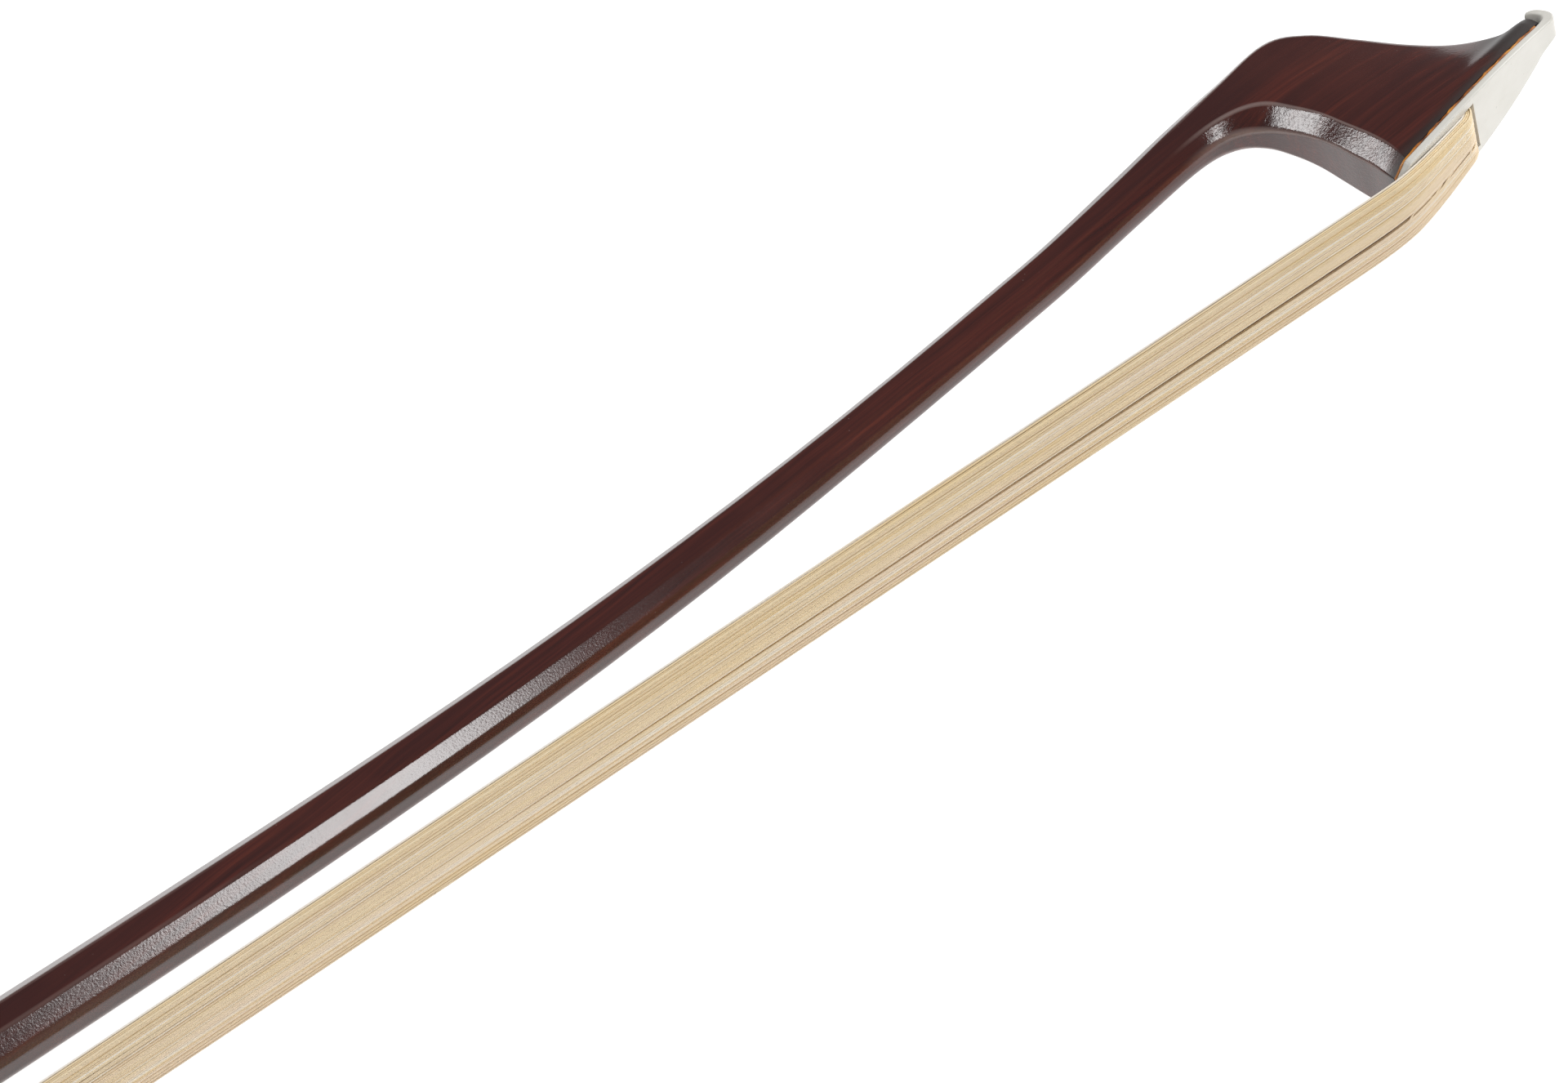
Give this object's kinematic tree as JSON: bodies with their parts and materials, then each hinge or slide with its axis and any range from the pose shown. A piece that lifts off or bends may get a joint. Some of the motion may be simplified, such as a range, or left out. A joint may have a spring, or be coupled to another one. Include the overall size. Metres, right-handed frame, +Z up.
{
  "type": "violin bow",
  "caption": "Violin bow with an octagonal cambered stick, carved head with a pale tip plate, a ribbon of hair, and a frog that slides when the end button turns.",
  "frame": {"origin": "on the surface the bow lies on, under the middle of its length and its depth", "axes": "+X along the handle from the button to the head, +Y from the hair to the stick's back, +Z up through the side of the bow as it lies"},
  "size_m": [0.7444, 0.042, 0.0138],
  "materials": {
    "varnished_wood": "glossy red-brown varnish",
    "ebony": "oiled, black",
    "plate_ivory": "polished, off-white",
    "liner_amber": "thin dark and amber line",
    "bow_hair": "natural, blond",
    "plug_wood": "bare, sanded",
    "knot_thread": "waxed thread",
    "grip_leather": "dark, grained",
    "silver": "polished, lightly worn",
    "brass": "machined",
    "steel": "turned",
    "pearl": "iridescent shell"
  },
  "bodies": {
    "stick": {"stick": "varnished_wood", "head_plate_liner": "liner_amber", "tip_plate": "plate_ivory", "head_plug": "plug_wood", "head_hair_knot": "knot_thread", "hair_ribbon": "bow_hair", "leather_grip": "grip_leather", "wire_winding": "silver"},
    "frog": {"frog_body": "ebony", "underslide": "silver", "underslide_pin_rear": "silver", "underslide_pin_front": "silver", "eyelet": "brass", "slide_base": "ebony", "pearl_slide": "pearl", "heel_plate_lower": "silver", "heel_plate_upper": "silver", "heel_pin_lower_left": "silver", "heel_pin_lower_right": "silver", "heel_pin_upper_low": "silver", "heel_pin_upper_high": "silver", "ferrule": "silver", "spread_wedge": "plug_wood", "frog_plug": "plug_wood", "frog_hair_knot": "knot_thread", "eye_ring_left": "silver", "eye_ring_right": "silver", "pearl_eye_left": "pearl", "pearl_eye_right": "pearl"},
    "screw": {"screw": "steel", "button_core": "ebony", "button_front_ring": "silver", "button_end_ring": "silver", "button_pearl_eye": "pearl"}
  },
  "joints": [
    {"name": "screw_turn", "type": "hinge", "parent": "stick", "child": "screw", "pos_m": [-0.3576, 0.00134, 0.0069], "axis": [1, 0, 0], "range_deg": [-3090, 1030]},
    {"name": "frog_slide", "type": "slide", "parent": "stick", "child": "frog", "axis": [1, 0, 0], "range_m": [-0.002, 0.006], "deforming": ["hair_ribbon"]}
  ],
  "couplings": [
    {"joint": "screw_turn", "follows": "frog_slide", "rad_per_m": -8976}
  ]
}
